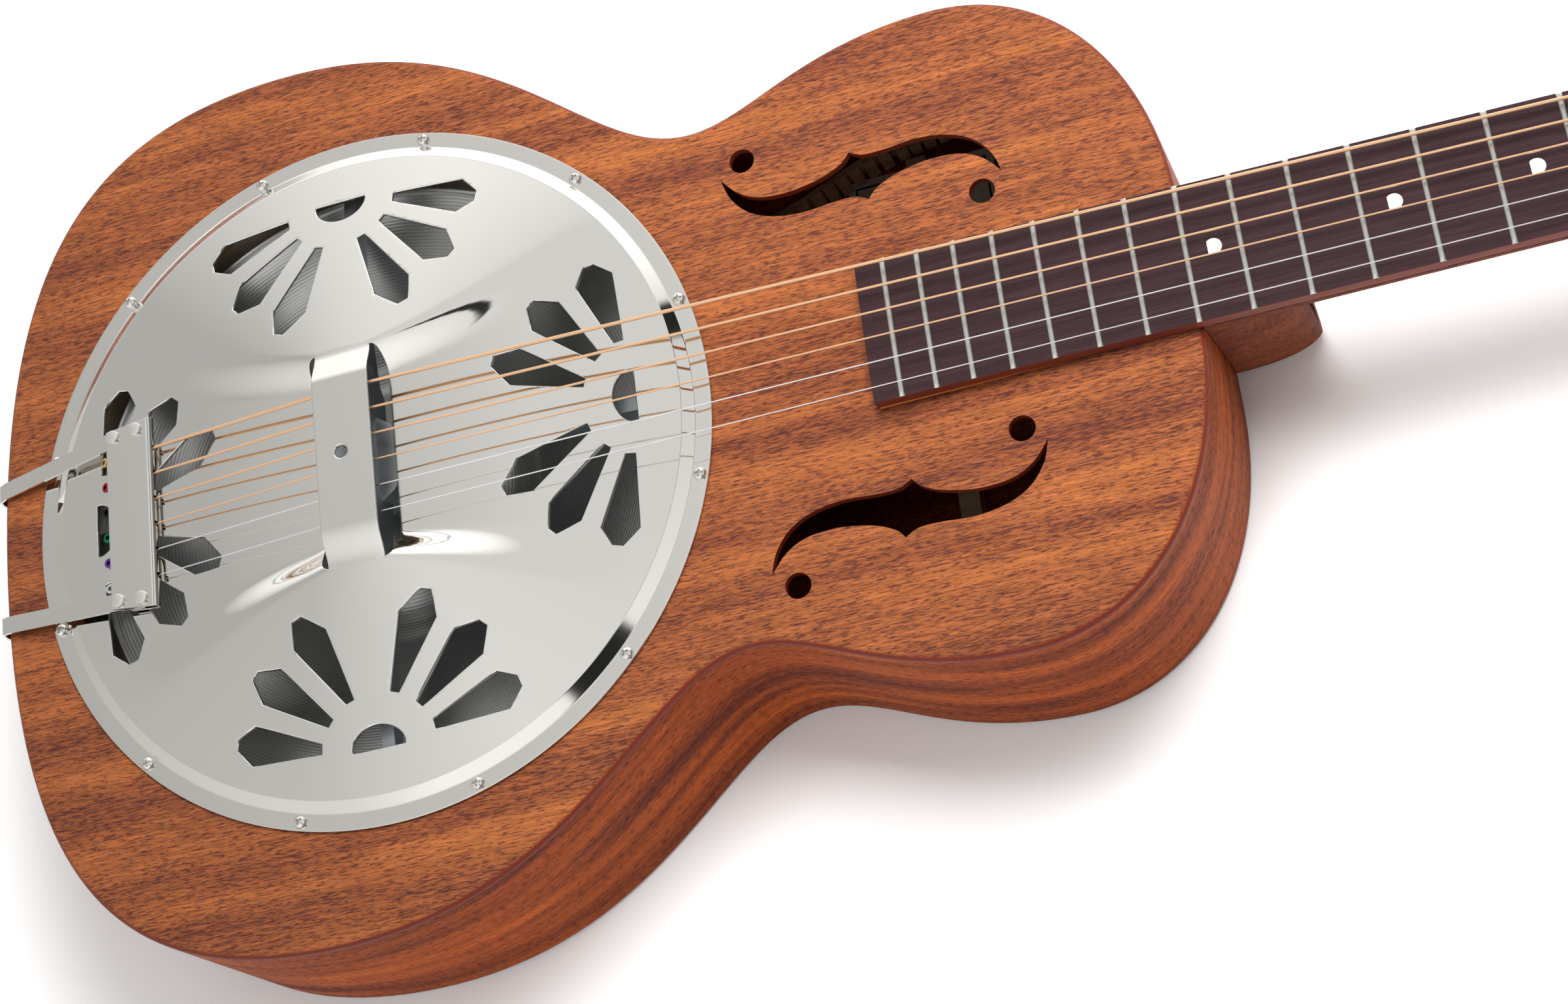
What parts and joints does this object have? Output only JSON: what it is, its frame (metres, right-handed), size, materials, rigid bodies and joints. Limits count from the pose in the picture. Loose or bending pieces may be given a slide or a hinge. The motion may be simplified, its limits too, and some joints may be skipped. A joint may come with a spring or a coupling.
{
  "type": "resonator guitar",
  "caption": "Round-neck resonator guitar: wooden body, fan-cut metal coverplate over a spun cone and spider bridge, riveted tailpiece, open-gear tuners.",
  "frame": {"origin": "on the flat back, straight below the centre of the resonator", "axes": "+X from the tail to the headstock, +Y to the bass side, +Z out of the soundboard"},
  "size_m": [0.9863, 0.3552, 0.1087],
  "materials": {
    "mahogany_satin": "satin mahogany with an amber-brown stain, open pores",
    "inner_wood": "raw inner wood",
    "dark_board": "oiled dark rosewood",
    "shim_wood": "orange-stained wood",
    "nickel": "polished nickel plate",
    "plated_steel": "nickel-plated steel",
    "spun_aluminium": "spun, with fine turning rings",
    "cast_aluminium": "sand-cast, dark grey",
    "phosphor_bronze": "wound phosphor bronze",
    "plain_steel": "drawn steel wire",
    "bone": "polished bone",
    "saddle_maple": "hard maple",
    "button_cream": "cream plastic"
  },
  "bodies": {
    "root": {"top_plate": "mahogany_satin", "back_plate": "mahogany_satin", "side_bass": "mahogany_satin", "side_treble": "mahogany_satin", "neck": "mahogany_satin", "neck_block": "inner_wood", "tail_block": "inner_wood", "lining_top_bass": "inner_wood", "lining_top_treble": "inner_wood", "lining_back_bass": "inner_wood", "lining_back_treble": "inner_wood", "soundwell": "inner_wood", "top_brace": "inner_wood", "back_brace": "inner_wood", "fretboard": "dark_board", "headstock_overlay": "dark_board", "fretboard_shim": "shim_wood", "cone": "spun_aluminium", "spider": "cast_aluminium", "saddle_bass": "saddle_maple", "saddle_treble": "saddle_maple", "tension_screw": "plated_steel", "truss_rod": "plated_steel", "end_pin": "plated_steel", "cover_screw_01": "plated_steel", "cover_screw_02": "plated_steel", "cover_screw_03": "plated_steel", "cover_screw_04": "plated_steel", "cover_screw_05": "plated_steel", "cover_screw_06": "plated_steel", "cover_screw_07": "plated_steel", "cover_screw_08": "plated_steel", "cover_screw_09": "plated_steel", "cover_screw_10": "plated_steel", "cover_screw_11": "plated_steel", "cover_screw_12": "plated_steel", "coverplate": "nickel", "tailpiece": "nickel", "tail_hanger": "nickel", "nut": "bone", "string_low_e": "phosphor_bronze", "string_a": "phosphor_bronze", "string_d": "phosphor_bronze", "string_g": "phosphor_bronze", "string_b": "plain_steel", "string_high_e": "plain_steel", "tuner_plate_bass": "plated_steel", "tuner_plate_treble": "plated_steel"},
    "button_low_e": {"tuner_button_low_e": "button_cream"},
    "post_low_e": {"tuner_post_low_e": "plated_steel"},
    "button_a": {"tuner_button_a": "button_cream"},
    "post_a": {"tuner_post_a": "plated_steel"},
    "button_d": {"tuner_button_d": "button_cream"},
    "post_d": {"tuner_post_d": "plated_steel"},
    "button_g": {"tuner_button_g": "button_cream"},
    "post_g": {"tuner_post_g": "plated_steel"},
    "button_b": {"tuner_button_b": "button_cream"},
    "post_b": {"tuner_post_b": "plated_steel"},
    "button_high_e": {"tuner_button_high_e": "button_cream"},
    "post_high_e": {"tuner_post_high_e": "plated_steel"}
  },
  "joints": [
    {"name": "button_turn_low_e", "type": "hinge", "parent": "root", "child": "button_low_e", "pos_m": [0.68013, 0.0215, 0.0546], "axis": [0, 1, 0], "continuous": true},
    {"name": "post_turn_low_e", "type": "hinge", "parent": "root", "child": "post_low_e", "pos_m": [0.67541, 0.0215, 0.07659], "axis": [0.2419, 0, 0.9703], "continuous": true},
    {"name": "button_turn_a", "type": "hinge", "parent": "root", "child": "button_a", "pos_m": [0.72379, 0.0215, 0.04371], "axis": [0, 1, 0], "continuous": true},
    {"name": "post_turn_a", "type": "hinge", "parent": "root", "child": "post_a", "pos_m": [0.71908, 0.0215, 0.0657], "axis": [0.2419, 0, 0.9703], "continuous": true},
    {"name": "button_turn_d", "type": "hinge", "parent": "root", "child": "button_d", "pos_m": [0.76746, 0.0215, 0.03282], "axis": [0, 1, 0], "continuous": true},
    {"name": "post_turn_d", "type": "hinge", "parent": "root", "child": "post_d", "pos_m": [0.76274, 0.0215, 0.05482], "axis": [0.2419, 0, 0.9703], "continuous": true},
    {"name": "button_turn_g", "type": "hinge", "parent": "root", "child": "button_g", "pos_m": [0.76746, -0.0215, 0.03282], "axis": [0, 1, 0], "continuous": true},
    {"name": "post_turn_g", "type": "hinge", "parent": "root", "child": "post_g", "pos_m": [0.76274, -0.0215, 0.05482], "axis": [0.2419, 0, 0.9703], "continuous": true},
    {"name": "button_turn_b", "type": "hinge", "parent": "root", "child": "button_b", "pos_m": [0.72379, -0.0215, 0.04371], "axis": [0, 1, 0], "continuous": true},
    {"name": "post_turn_b", "type": "hinge", "parent": "root", "child": "post_b", "pos_m": [0.71908, -0.0215, 0.0657], "axis": [0.2419, 0, 0.9703], "continuous": true},
    {"name": "button_turn_high_e", "type": "hinge", "parent": "root", "child": "button_high_e", "pos_m": [0.68013, -0.0215, 0.0546], "axis": [0, 1, 0], "continuous": true},
    {"name": "post_turn_high_e", "type": "hinge", "parent": "root", "child": "post_high_e", "pos_m": [0.67541, -0.0215, 0.07659], "axis": [0.2419, 0, 0.9703], "continuous": true}
  ],
  "couplings": [
    {"joint": "post_turn_low_e", "follows": "button_turn_low_e", "ratio": 0.055556},
    {"joint": "post_turn_a", "follows": "button_turn_a", "ratio": 0.055556},
    {"joint": "post_turn_d", "follows": "button_turn_d", "ratio": 0.055556},
    {"joint": "post_turn_g", "follows": "button_turn_g", "ratio": -0.055556},
    {"joint": "post_turn_b", "follows": "button_turn_b", "ratio": -0.055556},
    {"joint": "post_turn_high_e", "follows": "button_turn_high_e", "ratio": -0.055556}
  ]
}
